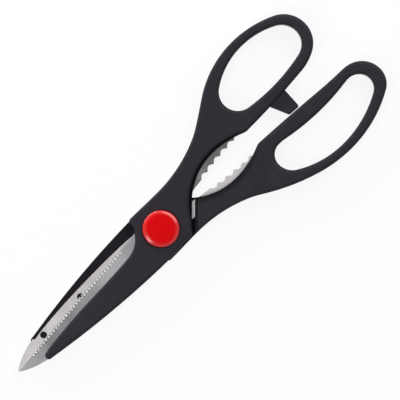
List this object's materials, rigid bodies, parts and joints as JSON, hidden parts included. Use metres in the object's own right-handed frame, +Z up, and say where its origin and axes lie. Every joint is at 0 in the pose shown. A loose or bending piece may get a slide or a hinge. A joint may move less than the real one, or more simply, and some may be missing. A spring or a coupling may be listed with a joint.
{
  "type": "kitchen shears",
  "caption": "Kitchen shears with black moulded handles and blade covers, steel blades, a toothed jaw between the handles and a red pivot cap.",
  "frame": {"origin": "on the pivot axis, in the plane the shears lie on", "axes": "+X from the pivot to the finger rings, +Y to the thumb ring with the cap up, +Z up along the pivot to the red cap"},
  "size_m": [0.2169, 0.0738, 0.0124],
  "materials": {
    "front_steel": "ground, fine lines across the blade",
    "back_steel": "satin",
    "black_plastic": "fine moulded grain",
    "hardware": "turned",
    "red_plastic": "gloss"
  },
  "bodies": {
    "back_half": {"back_blade": "back_steel", "back_handle": "black_plastic", "pivot_bolt": "hardware", "spring_washer": "hardware", "plain_washer": "hardware", "pivot_nut": "hardware"},
    "front_half": {"front_blade": "front_steel", "front_handle": "black_plastic", "pivot_cap": "red_plastic"}
  },
  "joints": [
    {"name": "blade_pivot", "type": "hinge", "parent": "back_half", "child": "front_half", "pos_m": [0, 0, 0], "axis": [0, 0, 1], "range_deg": [0, 70]}
  ]
}
